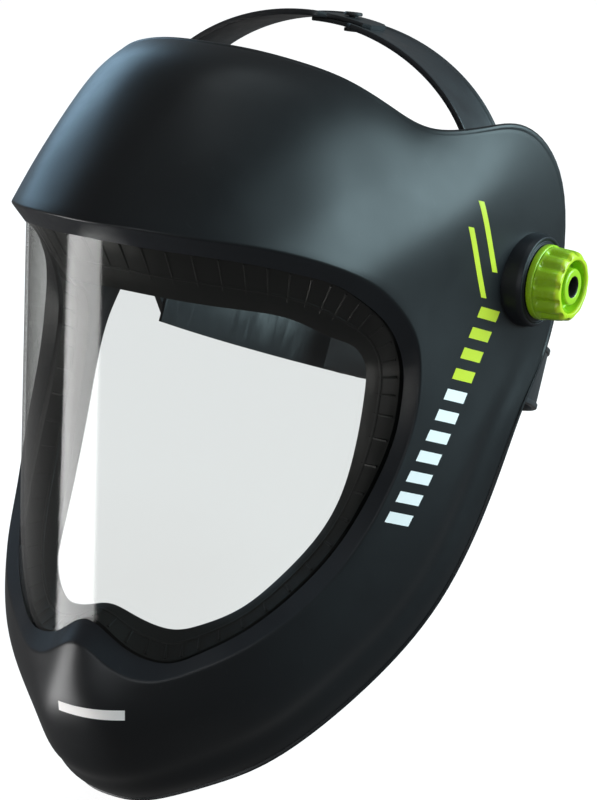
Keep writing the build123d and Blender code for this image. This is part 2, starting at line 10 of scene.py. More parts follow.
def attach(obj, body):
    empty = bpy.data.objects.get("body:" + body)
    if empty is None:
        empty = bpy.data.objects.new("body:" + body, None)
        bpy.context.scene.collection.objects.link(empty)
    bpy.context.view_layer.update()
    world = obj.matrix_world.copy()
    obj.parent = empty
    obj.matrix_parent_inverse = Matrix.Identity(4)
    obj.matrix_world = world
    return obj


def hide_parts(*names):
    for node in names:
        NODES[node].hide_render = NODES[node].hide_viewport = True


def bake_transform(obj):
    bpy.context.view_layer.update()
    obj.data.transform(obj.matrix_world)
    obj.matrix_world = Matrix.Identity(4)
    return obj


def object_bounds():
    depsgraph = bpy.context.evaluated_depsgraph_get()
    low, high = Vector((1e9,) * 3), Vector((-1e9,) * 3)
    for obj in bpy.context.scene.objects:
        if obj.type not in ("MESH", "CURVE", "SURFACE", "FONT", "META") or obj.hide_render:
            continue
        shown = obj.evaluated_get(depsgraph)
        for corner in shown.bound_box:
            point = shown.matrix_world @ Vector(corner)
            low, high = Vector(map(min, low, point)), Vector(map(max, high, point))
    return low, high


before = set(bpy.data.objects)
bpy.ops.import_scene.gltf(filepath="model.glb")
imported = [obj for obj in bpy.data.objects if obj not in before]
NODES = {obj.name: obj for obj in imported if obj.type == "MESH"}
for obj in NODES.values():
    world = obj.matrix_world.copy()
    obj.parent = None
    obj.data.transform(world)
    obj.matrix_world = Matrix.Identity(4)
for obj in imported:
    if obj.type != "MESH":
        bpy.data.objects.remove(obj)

CAD_BOX = [list(corner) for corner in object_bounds()]
MM = 0.001

# ================================================================ dimensions, in millimetres
WALL = 2.8
HEART = np.array([0.0, -40.0, -40.0])
LENS_THICK = 1.5
LENS_GAP = 0.3
LENS_LAP = 6.5
FRAME_THICK = 2.2
FRAME_DEPTH = LENS_THICK + 2 * LENS_GAP
BOSS_FACE_X = 120.6
KNOB_BASE_X = 120.9
KNOB_FACE_X = 136.6
CROWN_LEAN = radians(12.2)
CROWN_FORWARD = 8.0
CROWN_HALF_WIDTH = 94.2
CROWN_HEIGHT = 103.5
CROWN_FOOT = 30.0
CROWN_WIDTH = 32.0
STRAP_THICK = 2.0
BAND_TILT = radians(14)
BAND_CENTRE = np.array([0.0, 22.0, 12.0])
BAND_HALF_WIDTH = 94.3
BAND_HALF_DEPTH = 102.0
BAND_THICK = 2.0
BAND_HEIGHT = 22.0
NAPE_TILT = radians(26)
NAPE_START = np.array([0.0, 25.0, -51.5])
NAPE_HALF_WIDTH = 94.3
NAPE_DEPTH = 119.0
NAPE_HEIGHT = 30.0

# The helmet's ribs, from the middle of the crown round the window to the middle of the chin: ridge of
# the window rim, three points on the outer face, free edge, visible edge of the lens, lip of the frame.
RIBS = [
    [(0, -182.5, 54.8), (0, -158, 76), (0, -130, 96.5), (0, -108, 108), (0, -88, 111.5),
     (0, -170, 43.5), (0, -154, 17)],
    [(22, -177.5, 53.5), (21, -154, 74.5), (21, -127, 95), (21, -105, 106.5), (21, -84.5, 110),
     (20, -167.5, 42.7), (17, -151.5, 16)],
    [(44, -164.5, 49.5), (43, -143, 70.5), (41, -117, 90), (40, -95, 102), (40, -77, 105.5),
     (40, -158, 40), (34, -142.5, 13)],
    [(63, -146, 44), (62, -125.5, 62.5), (60.5, -102.5, 81), (59, -82.5, 93), (58.5, -66.5, 97.5),
     (57, -143.5, 35.5), (48, -129, 9)],
    [(78, -126.5, 36), (78, -108.5, 52), (77, -88, 67), (76, -70.5, 79.5), (75.5, -56, 85),
     (70, -127, 29), (58, -115.5, 4)],
    [(87.5, -109.5, 27), (89.5, -92.5, 40), (90.5, -75.5, 53), (90.5, -58, 65.5), (90.5, -46, 75.5),
     (80, -110, 21), (64.5, -104, -3)],
    [(93, -95.5, 17.5), (97, -77, 31.5), (100, -57, 45.5), (101.5, -38, 59.5), (103.5, -22, 73),
     (86, -96.5, 10.5), (69.5, -94, -9.5)],
    [(97, -83.5, 5), (102, -62.5, 19), (106.5, -41, 34.5), (109.5, -17, 50.5), (110.5, 5.5, 66.5),
     (90.5, -84, -2.5), (73, -83, -16)],
    [(100.5, -75, -12), (105.5, -50.5, -2), (110.5, -25, 8.5), (114.5, 1.5, 20), (116.5, 27, 32),
     (93, -76, -20), (75, -77, -26)],
    [(102, -76, -33.5), (107, -53.5, -32), (111.5, -30.5, -30), (115.5, -6.5, -27.5), (118, 17, -25.5),
     (93.5, -76.5, -37), (75.3, -78, -38)],
    [(101, -83, -54.5), (106, -65.5, -56.5), (110.5, -47, -57.5), (114.5, -27.5, -57.5),
     (117.5, -8, -56.5),
     (93, -83, -56), (75, -83, -56)],
    [(97, -98, -79.5), (102.5, -83, -84), (108, -66, -88.5), (111.5, -48.5, -92), (113.5, -30.5, -94),
     (89.5, -97, -77), (73, -92, -79)],
    [(89.5, -116, -102.5), (96, -104.5, -112), (101, -90, -121.5), (104.5, -75.5, -129.5),
     (105, -60.5, -136.5),
     (83.5, -114.5, -97), (68, -105, -97.5)],
    [(79.5, -136.5, -119.5), (86, -128.5, -133), (89.5, -118, -147.5), (90, -107.5, -159.5),
     (89, -98.5, -168.5),
     (74, -134, -113.5), (60, -122, -112)],
    [(65, -156.5, -132.5), (70.5, -151.5, -151), (71.5, -143.5, -169), (69, -136.5, -182.5),
     (66, -130.5, -193.5),
     (61, -152.5, -127), (50, -138.5, -123.5)],
    [(48.5, -171.5, -141.5), (51, -169.5, -162.5), (49.5, -162, -182.5), (47, -156.5, -196.5),
     (45, -147.5, -205.5),
     (47, -167, -135.5), (38, -151.5, -129.5)],
    [(33, -183, -146), (33.5, -183, -166.5), (32.5, -177, -186), (30.5, -171.5, -200.5),
     (28.5, -159, -211.5),
     (34.5, -175.3, -139.7), (27, -159, -131.5)],
    [(16.5, -190, -141), (17.5, -194, -162.5), (17.5, -189, -184), (16.5, -181, -201.5),
     (15, -166, -215),
     (17, -181, -134), (13, -163.5, -127.5)],
    [(0, -192.5, -132), (0, -198, -156), (0, -193, -182), (0, -185, -201), (0, -168, -216),
     (0, -182.9, -124.4), (0, -165, -123.5)],
]

LENS_CENTRE_Y = -30.0
# Lens: angle from the front in degrees, then the heights where it starts and ends.
LENS_COLUMNS = [
    (0, 50.2, -131.0), (10, 49.6, -141.0), (20, 48.0, -146.5), (29, 44.8, -143.0), (38, 40.6, -135.0),
    (47, 34.6, -124.5), (56, 26.0, -110.5), (64, 14.0, -94.5), (70, 1.0, -77.0), (74.5, -11.0, -58.0),
]


# ================================================================ curves
def unit(vectors):
    vectors = np.asarray(vectors, float)
    return vectors / np.linalg.norm(vectors, axis=-1, keepdims=True)


def hermite(p0, p1, m0, m1, t):
    return (
        (2 * t**3 - 3 * t**2 + 1) * p0 + (t**3 - 2 * t**2 + t) * m0
        + (3 * t**2 - 2 * t**3) * p1 + (t**3 - t**2) * m1
    )


def closed_spline(points, per_span):
    """A smooth closed curve through the points, evenly stepped between each pair."""
    points = np.asarray(points, float)
    count = len(points)
    matrix = 4 * np.eye(count) + np.roll(np.eye(count), 1, 0) + np.roll(np.eye(count), -1, 0)
    slopes = np.linalg.solve(matrix, 3 * (np.roll(points, -1, 0) - np.roll(points, 1, 0)))
    out = []
    for i in range(count):
        j = (i + 1) % count
        for step in range(per_span):
            out.append(hermite(points[i], points[j], slopes[i], slopes[j], step / per_span))
    return np.array(out)


def open_spline(points, fractions):
    """A natural cubic through the points, read at fractions of its chord length."""
    points = np.asarray(points, float)
    knots = np.concatenate([[0], np.cumsum(np.linalg.norm(np.diff(points, axis=0), axis=1))])
    gaps = np.diff(knots)
    count = len(points)
    matrix = np.zeros((count, count))
    right = np.zeros((count, points.shape[1]))
    matrix[0, 0] = matrix[-1, -1] = 1
    for i in range(1, count - 1):
        matrix[i, i - 1 : i + 2] = gaps[i - 1], 2 * (gaps[i - 1] + gaps[i]), gaps[i]
        right[i] = 6 * ((points[i + 1] - points[i]) / gaps[i] - (points[i] - points[i - 1]) / gaps[i - 1])
    bend = np.linalg.solve(matrix, right)
    out = []
    for place in np.asarray(fractions) * knots[-1]:
        i = min(max(int(np.searchsorted(knots, place, side="right")) - 1, 0), count - 2)
        a, b, h = knots[i + 1] - place, place - knots[i], gaps[i]
        out.append(
            bend[i] * a**3 / (6 * h) + bend[i + 1] * b**3 / (6 * h)
            + (points[i] / h - bend[i] * h / 6) * a + (points[i + 1] / h - bend[i + 1] * h / 6) * b
        )
    return np.array(out)


def smooth(x, low, high):
    t = np.clip((np.asarray(x, float) - low) / (high - low), 0, 1)
    return t * t * (3 - 2 * t)


def bump(x, middle, width):
    return np.exp(-(((np.asarray(x, float) - middle) / width) ** 2))


# ================================================================ meshes
def make_mesh(name, points, faces, sharp=34, body=None, slot=None, replaces=(), material=None):
    """An object from points in millimetres, smooth-shaded except at sharp edges."""
    mesh = bpy.data.meshes.new(name)
    mesh.from_pydata([tuple(float(v) * MM for v in p) for p in points], [], [tuple(f) for f in faces])
    mesh.validate()
    return adopt(name, mesh, sharp, body, replaces, material)


def adopt(name, mesh, sharp, body, replaces, material, flip=True):
    if flip:
        work = bmesh.new()
        work.from_mesh(mesh)
        bmesh.ops.recalc_face_normals(work, faces=work.faces)
        work.to_mesh(mesh)
        work.free()
    mesh.polygons.foreach_set("use_smooth", [True] * len(mesh.polygons))
    if sharp:
        mesh.set_sharp_from_angle(angle=radians(sharp))
    mesh.update()
    piece = bpy.data.objects.new(name, mesh)
    bpy.context.scene.collection.objects.link(piece)
    if material:
        mesh.materials.append(material)
    if body:
        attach(piece, body)
    if replaces:
        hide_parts(*replaces)
    return piece


def loops(rings, closed_ring=True, closed_path=False, caps=True):
    """Points and faces that join rings of equal length, one after another."""
    rings = [np.asarray(ring, float) for ring in rings]
    size = len(rings[0])
    points = np.concatenate(rings)
    faces = []
    last = len(rings) if closed_path else len(rings) - 1
    for i in range(last):
        j = (i + 1) % len(rings)
        for k in range(size if closed_ring else size - 1):
            m = (k + 1) % size
            faces.append((i * size + k, j * size + k, j * size + m, i * size + m))
    if caps and closed_ring and not closed_path:
        faces.append(tuple(range(size)))
        faces.append(tuple((len(rings) - 1) * size + k for k in reversed(range(size))))
    return points, faces


def joined(parts):
    points, faces, base = [], [], 0
    for p, f in parts:
        points.append(np.asarray(p, float))
        faces += [tuple(v + base for v in face) for face in f]
        base += len(p)
    return np.concatenate(points), faces


def mirror_x(points):
    return np.asarray(points, float) * np.array([-1.0, 1.0, 1.0])


def lathe_x(profile, steps=96, shape=None):
    """A closed profile of (radius, x) turned about X. shape(angle, radius, x) may change the radius."""
    rings = []
    for i in range(steps):
        angle = 2 * pi * i / steps
        ring = []
        for radius, x in profile:
            r = shape(angle, radius, x) if shape else radius
            ring.append((x, r * cos(angle), r * sin(angle)))
        rings.append(ring)
    return loops(rings, closed_path=True)


def rounded(profile, radius, steps=3):
    """A closed 2D profile with each corner turned into a small arc."""
    out = []
    count = len(profile)
    for i in range(count):
        here = np.array(profile[i], float)
        before = np.array(profile[i - 1], float) - here
        after = np.array(profile[(i + 1) % count], float) - here
        cut = min(radius, 0.45 * np.linalg.norm(before), 0.45 * np.linalg.norm(after))
        start = here + unit(before) * cut
        end = here + unit(after) * cut
        for k in range(steps + 1):
            t = k / steps
            out.append((1 - t) ** 2 * start + 2 * t * (1 - t) * here + t * t * end)
    return out


def sweep(path, wide, out, profile_at):
    """Rings along a path: profile_at(i) gives (across, outwards) points in the frame (wide, out)."""
    rings = []
    for i in range(len(path)):
        rings.append([path[i] + wide[i] * w + out[i] * n for w, n in profile_at(i)])
    return loops(rings)


# ================================================================ materials
def new_material(name):
    material = bpy.data.materials.new(name)
    material.use_nodes = True
    nodes, links = material.node_tree.nodes, material.node_tree.links
    shader = nodes["Principled BSDF"]
    where = nodes.new("ShaderNodeTexCoord").outputs["Object"]
    return material, nodes, links, shader, where


def noise(nodes, links, where, scale, detail=4, rough=0.5, stretch=None):
    if stretch:
        mapping = nodes.new("ShaderNodeMapping")
        mapping.inputs["Scale"].default_value = stretch
        links.new(where, mapping.inputs["Vector"])
        where = mapping.outputs["Vector"]
    texture = nodes.new("ShaderNodeTexNoise")
    texture.inputs["Scale"].default_value = scale
    texture.inputs["Detail"].default_value = detail
    texture.inputs["Roughness"].default_value = rough
    links.new(where, texture.inputs["Vector"])
    return texture.outputs["Fac"]


def ranged(nodes, links, value, low, high, start=0.35, stop=0.65):
    node = nodes.new("ShaderNodeMapRange")
    node.inputs["From Min"].default_value = start
    node.inputs["From Max"].default_value = stop
    node.inputs["To Min"].default_value = low
    node.inputs["To Max"].default_value = high
    links.new(value, node.inputs["Value"])
    return node.outputs["Result"]


def blended(nodes, links, factor, a, b):
    node = nodes.new("ShaderNodeMix")
    node.data_type = "RGBA"
    links.new(factor, node.inputs[0])
    for socket, colour in ((node.inputs[6], a), (node.inputs[7], b)):
        if hasattr(colour, "links"):
            links.new(colour, socket)
        else:
            socket.default_value = (*colour, 1)
    return node.outputs[2]


def bumped(nodes, links, height, strength, distance, normal=None):
    node = nodes.new("ShaderNodeBump")
    node.inputs["Strength"].default_value = strength
    node.inputs["Distance"].default_value = distance
    links.new(height, node.inputs["Height"])
    if normal:
        links.new(normal, node.inputs["Normal"])
    return node.outputs["Normal"]


def plastic(name, colour, worn, rough, spread=0.06, grain=2600, grain_depth=0.00004, coat=0.0, specular=0.5):
    """Moulded plastic: mottled colour, rubbed patches, hair scratches and a fine spark-eroded grain."""
    material, nodes, links, shader, where = new_material(name)
    cloud = noise(nodes, links, where, 22, 3)
    rubs = noise(nodes, links, where, 60, 6, 0.7)
    scratch = noise(nodes, links, where, 90, 3, 0.6, (1, 9, 2))
    marks = ranged(nodes, links, scratch, 0, 1, 0.66, 0.74)
    tint = blended(nodes, links, ranged(nodes, links, cloud, 0, 1, 0.3, 0.75), colour, worn)
    lighter = tuple(min(1, 1.25 * c + 0.012) for c in worn)
    fade = nodes.new("ShaderNodeMath")
    fade.operation = "MULTIPLY"
    fade.inputs[1].default_value = 0.35
    links.new(marks, fade.inputs[0])
    links.new(blended(nodes, links, fade.outputs[0], tint, lighter), shader.inputs["Base Color"])
    links.new(ranged(nodes, links, rubs, rough - spread, rough + spread), shader.inputs["Roughness"])
    fine = noise(nodes, links, where, grain, 2)
    normal = bumped(nodes, links, fine, 0.35, grain_depth)
    links.new(bumped(nodes, links, scratch, 0.08, 0.0001, normal), shader.inputs["Normal"])
    shader.inputs["Coat Weight"].default_value = coat
    shader.inputs["Coat Roughness"].default_value = 0.25
    shader.inputs["Specular IOR Level"].default_value = specular
    return material


def metal(name, colour, rough):
    material, nodes, links, shader, where = new_material(name)
    shader.inputs["Metallic"].default_value = 1.0
    turned = noise(nodes, links, where, 400, 3, 0.5, (12, 1, 1))
    stain = noise(nodes, links, where, 45, 5, 0.7)
    stained = tuple(c * 0.62 for c in colour)
    tint = blended(nodes, links, ranged(nodes, links, stain, 0, 1), colour, stained)
    links.new(tint, shader.inputs["Base Color"])
    links.new(ranged(nodes, links, turned, rough - 0.08, rough + 0.14), shader.inputs["Roughness"])
    links.new(bumped(nodes, links, turned, 0.15, 0.00003), shader.inputs["Normal"])
    return material


def fabric(name, colour, light, weave=900):
    material, nodes, links, shader, where = new_material(name)
    waves = []
    for axis in ("X", "Z"):
        wave = nodes.new("ShaderNodeTexWave")
        wave.bands_direction = axis
        wave.inputs["Scale"].default_value = weave
        wave.inputs["Distortion"].default_value = 1.2
        wave.inputs["Detail"].default_value = 1
        links.new(where, wave.inputs["Vector"])
        waves.append(wave.outputs["Fac"])
    both = nodes.new("ShaderNodeMath")
    both.operation = "MULTIPLY"
    links.new(waves[0], both.inputs[0])
    links.new(waves[1], both.inputs[1])
    cloud = noise(nodes, links, where, 40, 4)
    tint = blended(nodes, links, ranged(nodes, links, cloud, 0, 1), colour, light)
    raised = tuple(c * 1.8 for c in light)
    links.new(blended(nodes, links, both.outputs[0], tint, raised), shader.inputs["Base Color"])
    links.new(ranged(nodes, links, cloud, 0.8, 0.97), shader.inputs["Roughness"])
    links.new(bumped(nodes, links, both.outputs[0], 0.6, 0.0003), shader.inputs["Normal"])
    shader.inputs["Sheen Weight"].default_value = 0.25
    return material


def clear_sheet(name):
    """Thin clear plastic: light goes straight through, and the surface reflects by its angle."""
    material, nodes, links, shader, where = new_material(name)
    through = nodes.new("ShaderNodeBsdfTransparent")
    through.inputs["Color"].default_value = (0.835, 0.835, 0.825, 1)
    shine = nodes.new("ShaderNodeBsdfGlossy")
    shine.inputs["Color"].default_value = (1, 1, 1, 1)
    haze = noise(nodes, links, where, 30, 4, 0.6, (1, 1, 0.15))
    links.new(ranged(nodes, links, haze, 0.05, 0.12), shine.inputs["Roughness"])
    ripple = noise(nodes, links, where, 26, 1, 0.4, (1, 1, 0.08))
    normal = bumped(nodes, links, ripple, 0.12, 0.0016)
    links.new(normal, shine.inputs["Normal"])
    facing = nodes.new("ShaderNodeLayerWeight")
    facing.inputs["Blend"].default_value = 0.5
    power = nodes.new("ShaderNodeMath")
    power.operation = "POWER"
    power.inputs[1].default_value = 4.0
    links.new(facing.outputs["Facing"], power.inputs[0])
    share = nodes.new("ShaderNodeMath")
    share.operation = "MULTIPLY_ADD"
    share.inputs[1].default_value = 0.75
    share.inputs[2].default_value = 0.02
    links.new(power.outputs[0], share.inputs[0])
    mix = nodes.new("ShaderNodeMixShader")
    links.new(share.outputs[0], mix.inputs["Fac"])
    links.new(through.outputs[0], mix.inputs[1])
    links.new(shine.outputs[0], mix.inputs[2])
    output = nodes["Material Output"]
    nodes.remove(shader)
    links.new(mix.outputs[0], output.inputs["Surface"])
    return material


M_SHELL = plastic("shell_satin", (0.0055, 0.0062, 0.0072), (0.0078, 0.0088, 0.010), 0.38, 0.02, specular=0.34)
# rim_painted_sheen: a lighter, bluer copy of the shell plastic, a painted steel-blue sheen for the window
# bevel and the pivot rings
M_RIM_SHEEN = plastic("rim_painted_sheen", (0.0065, 0.008, 0.0105), (0.009, 0.011, 0.0145), 0.42, 0.05, specular=0.36)
M_FRAME = plastic("frame_ribbed", (0.0055, 0.0065, 0.006), (0.009, 0.010, 0.009), 0.50, 0.08, specular=0.3)
M_STRAP = plastic("strap_grey", (0.016, 0.018, 0.021), (0.026, 0.029, 0.032), 0.42, 0.08, 1800)
M_GRIP = plastic("grip_dark", (0.012, 0.013, 0.014), (0.022, 0.023, 0.024), 0.55, 0.08, 1500)
M_LIME = plastic("lime_moulded", (0.33, 0.60, 0.010), (0.38, 0.66, 0.014), 0.30, 0.06, 1800, 0.00002, 0.25)
# lime_painted_highlight: a lighter copy of the knob's lime, a painted highlight on the rim of the knob's face
M_LIME_HIGHLIGHT = plastic("lime_painted_highlight", (0.48, 0.66, 0.013), (0.54, 0.72, 0.02), 0.32, 0.06, 1800, 0.00002, 0.25)
# bore_painted_shade: near-black, painted shade on the walls of the knob's central bore
M_BORE_SHADE = plastic("bore_painted_shade", (0.006, 0.006, 0.006), (0.009, 0.009, 0.009), 0.6)
M_NYLON = plastic("nylon_pale", (0.50, 0.49, 0.45), (0.60, 0.59, 0.55), 0.45)
M_WHITE = plastic("ink_white", (0.86, 0.84, 0.82), (0.92, 0.90, 0.88), 0.42)
M_INK_LIME = plastic("ink_lime", (0.54, 0.64, 0.012), (0.60, 0.70, 0.02), 0.42)
M_STEEL = metal("steel_turned", (0.62, 0.62, 0.63), 0.32)
M_FABRIC = fabric("pad_knit", (0.016, 0.017, 0.019), (0.032, 0.034, 0.037))
M_LENS = clear_sheet("lens_clear")

# ================================================================ helmet shell
PER_SPAN = 8
LEFT = [list(rib) for rib in RIBS]
RIGHT = [[(-p[0], p[1], p[2]) for p in rib] for rib in RIBS[-2:0:-1]]
ROUND = LEFT + RIGHT
TRACKS = [closed_spline([rib[k] for rib in ROUND], PER_SPAN) for k in range(7)]
COLUMNS = len(TRACKS[0])
CHIN_RIB = len(RIBS) - 1
# rib number of each column, 0 at the crown and 18 at the chin
RIB_AT = np.abs(((np.arange(COLUMNS) / PER_SPAN + CHIN_RIB) % (2 * CHIN_RIB)) - CHIN_RIB)


def lens_half_width(z):
    return 96 + (45 - z) / 30


def lens_half_depth(z):
    return 140 + (45 - z) * 14 / 180


def lens_normal(point):
    across = point[0] / lens_half_width(point[2]) ** 2
    ahead = (point[1] - LENS_CENTRE_Y) / lens_half_depth(point[2]) ** 2
    return unit([across, ahead, 0])


OUTER_STEPS = 44      # points from the ridge to the free edge
FACE_STEP = 12        # a point well out on the face
fractions = np.linspace(0, 1, OUTER_STEPS)
grid = np.array([
    open_spline([TRACKS[k][i] for k in range(5)], fractions) for i in range(COLUMNS)
])
down_col = np.gradient(grid, axis=1)
round_col = (np.roll(grid, -1, 0) - np.roll(grid, 1, 0)) / 2
normals = unit(np.cross(round_col, down_col))
normals *= np.sign(np.sum(normals * (grid - HEART), axis=2, keepdims=True))
steps = np.linalg.norm(np.diff(grid, axis=1), axis=2)
from_edge = np.concatenate([np.cumsum(steps[:, ::-1], axis=1)[:, ::-1], np.zeros((COLUMNS, 1))], axis=1)
from_ridge = np.concatenate([np.zeros((COLUMNS, 1)), np.cumsum(steps, axis=1)], axis=1)
low = smooth(RIB_AT, 8.5, 11.5)[:, None]
valley = -1.7 * low * bump(from_edge, 20, 7.5)
flare = 0.3 * low * (1 - smooth(from_edge, 0, 15))
swell = (valley + flare) * smooth(from_ridge, 8, 22)
surface = grid + normals * swell[..., None]

foot = TRACKS[5]
shell_rings = []
for i in range(COLUMNS):
    ridge = surface[i, 0]
    bevel = unit(foot[i] - ridge)
    face = unit(surface[i, 2] - ridge)
    n_face = normals[i, 1]
    n_bevel = np.cross(bevel, unit(round_col[i, 0]))
    n_bevel = unit(n_bevel) * np.sign(np.dot(n_bevel, ridge - surface[i, 6]))
    n_lens = lens_normal(foot[i])
    away = (surface[i, FACE_STEP] - foot[i])
    away = unit(away - n_lens * np.dot(away, n_lens))
    # corner where the inner offsets of the face and the bevel meet
    dots = np.dot(n_face, n_bevel)
    share = -WALL / (1 + dots)
    inner_corner = ridge + (n_face + n_bevel) * share
    rim_back = foot[i] + away * (WALL / max(0.35, np.linalg.norm(np.cross(bevel, away)))) + n_lens * 0.1
    ring = [foot[i] + n_lens * 0.1]
    length = np.linalg.norm(foot[i] - ridge)
    for t in (0.04, 0.25, 0.5, 0.75, 0.9):
        ring.append(foot[i] + (ridge - foot[i]) * t * (1 - 1.1 / length) + n_lens * 0.1 * (1 - t))
    p0, p2 = ridge + bevel * 1.1, ridge + face * 1.1
    for t in (0, 0.25, 0.5, 0.75, 1):
        ring.append((1 - t) ** 2 * p0 + 2 * t * (1 - t) * ridge + t * t * p2)
    ring += [surface[i, k] for k in range(2, OUTER_STEPS - 2)]
    end = surface[i, -1]
    along = unit(end - surface[i, -3])
    n_end = normals[i, -1]
    near = surface[i, -3]
    span = np.linalg.norm(end - near)
    bead = 0.06 + 0.49 * float(low[i, 0])
    for back, rise in ((3.6, 0), (2.6, -bead), (2.1, -bead), (1.7, bead), (0.9, bead * 1.3), (0.2, bead)):
        if back < span + 2:
            ring.append(end - along * back + n_end * rise)
    middle = end - n_end * WALL / 2
    for k in range(1, 7):
        turn = pi * k / 7
        ring.append(middle + n_end * (WALL / 2) * cos(turn) + along * (WALL / 2) * sin(turn) * 0.8)
    ring += [surface[i, k] - normals[i, k] * WALL for k in range(OUTER_STEPS - 2, 11, -2)]
    ring += [inner_corner, rim_back]
    shell_rings.append(ring)
points, faces = loops(shell_rings, closed_path=True)
shell = make_mesh("shell", points, faces, 38, "helmet", "shell_plastic", ["helmet_shell"], M_SHELL)
shell.data.materials.append(M_RIM_SHEEN)
shell_tree = BVHTree.FromPolygons([tuple(p) for p in points], [tuple(f) for f in faces])
ring_size = len(shell_rings[0])
# the faces of the window bevel take the painted sheen material
for polygon in shell.data.polygons:
    if min(v % ring_size for v in polygon.vertices) < 7 and max(v % ring_size for v in polygon.vertices) < 9:
        polygon.material_index = 1


def both_sides(name, part, **keep):
    """The same piece on the wearer's left and mirrored on the right. keep holds per-side words with SIDE."""
    made = []
    for side in ("left", "right"):
        pts, fcs = part
        pts = pts if side == "left" else mirror_x(pts)
        words = {k: [w.replace("SIDE", side) for w in v] if isinstance(v, list) else
                 v.replace("SIDE", side) if isinstance(v, str) else v for k, v in keep.items()}
        made.append(make_mesh(f"{name}_{side}", pts, fcs, **words))
    return made


# ================================================================ printed bars in place of the lettering
INK_THICK = 0.12
SIDE_LINE = (np.array([-91.0, -90.0]), np.array([-26.0, -3.0]))   # y and z where the row starts and ends
SIDE_BARS = 11
WHITE_BARS = 7


def printed_bar(corner, run, rise, aim, columns=12):
    """A flat bar laid on the shell: corner, run and rise span it, and it is thrown on along aim."""
    rings = []
    for k in range(columns + 1):
        ring = []
        for j, lift in ((0, 0.02), (1, 0.02), (1, INK_THICK), (0, INK_THICK)):
            start = Vector(corner + rise * k / columns + run * j)
            spot, facing, _, _ = shell_tree.ray_cast(start - Vector(aim) * 60, Vector(aim), 120)
            out = facing if facing.dot(Vector(aim)) < 0 else -facing
            ring.append(np.array(spot + out * lift))
        rings.append(ring)
    return loops(rings)


line_start, line_end = SIDE_LINE
line = line_end - line_start
pitch = line / SIDE_BARS
cross = unit([line[1], -line[0]]) * 13.0 + unit(line) * 3.0
printed = []
for k in range(SIDE_BARS):
    low_corner = line_start + pitch * k - cross / 2
    printed.append(printed_bar(np.array([125.0, *low_corner]), np.array([0, *(pitch * 0.52)]),
                               np.array([0, *cross]), (-1, 0, 0)))
both_sides("side_bars_white", joined(printed[:WHITE_BARS]), body="helmet", slot="shell_plastic",
           material=M_WHITE)
both_sides("side_bars_lime", joined(printed[WHITE_BARS:]), body="helmet", slot="shell_plastic",
           material=M_INK_LIME)
long_bars = [
    printed_bar(np.array([125.0, y, z]), np.array([0, 3.4, -1.2]), np.array([0, -8.0, 34.0]), (-1, 0, 0), 20)
    for y, z in ((-35.0, 0.0), (-27.5, 10.0))
]
both_sides("side_strokes", joined(long_bars), body="helmet", slot="shell_plastic", material=M_INK_LIME)
points, faces = printed_bar(np.array([-6.0, -190.0, -163.5]), np.array([0, 0, 4.6]), np.array([30.0, 0, 0]),
                            (0, 1, 0), 24)
make_mesh("chin_bar", points, faces, body="helmet", slot="shell_plastic", material=M_WHITE)

# ================================================================ raised rings round the pivots
boss_profile = rounded([
    (22.4, 106.0), (20.9, 118.4), (20.2, BOSS_FACE_X), (19.0, BOSS_FACE_X), (18.6, BOSS_FACE_X - 0.6),
    (17.9, BOSS_FACE_X - 0.6), (17.5, BOSS_FACE_X), (5.2, BOSS_FACE_X), (5.2, 112.0),
], 0.5, 3)
# the ring round each pivot is drawn in the painted sheen material
both_sides("boss_ring", lathe_x(boss_profile, 96), body="helmet", slot="shell_plastic", material=M_RIM_SHEEN)
inner_boss = rounded([(13.0, 104.8), (13.0, 115.5), (5.2, 115.5), (5.2, 104.8)], 0.6, 3)
both_sides("inner_boss", lathe_x(inner_boss, 64), body="helmet", slot="shell_plastic", material=M_SHELL)

# ================================================================ lens
lens_angles = np.linspace(-74.5, 74.5, 121)
column_angles = [a for a, _, _ in LENS_COLUMNS]
both_angles = [-a for a in column_angles[:0:-1]] + column_angles
tops = [t for _, t, _ in LENS_COLUMNS]
bottoms = [b for _, _, b in LENS_COLUMNS]
both_tops = tops[:0:-1] + tops
both_bottoms = bottoms[:0:-1] + bottoms


def between(angles, values, at):
    """A smooth curve through (angle, value), read at other angles."""
    pairs = np.array([angles, values], float).T
    line = open_spline(pairs, np.linspace(0, 1, 400))
    return np.interp(at, line[:, 0], line[:, 1])


lens_top = between(both_angles, both_tops, lens_angles)
lens_bottom = between(both_angles, both_bottoms, lens_angles)
LENS_ROWS = 40
lens_rings = []
for angle, top, bottom in zip(lens_angles, lens_top, lens_bottom):
    ring = []
    for inset, order in ((LENS_GAP, range(LENS_ROWS)), (LENS_GAP + LENS_THICK, range(LENS_ROWS - 1, -1, -1))):
        for k in order:
            z = top + (bottom - top) * k / (LENS_ROWS - 1)
            ring.append((
                (lens_half_width(z) - inset) * sin(radians(angle)),
                LENS_CENTRE_Y - (lens_half_depth(z) - inset) * cos(radians(angle)), z,
            ))
    lens_rings.append(ring)
points, faces = loops(lens_rings)
make_mesh("lens", points, faces, 40, "helmet", "clear_lens", ["visor_lens"], M_LENS)

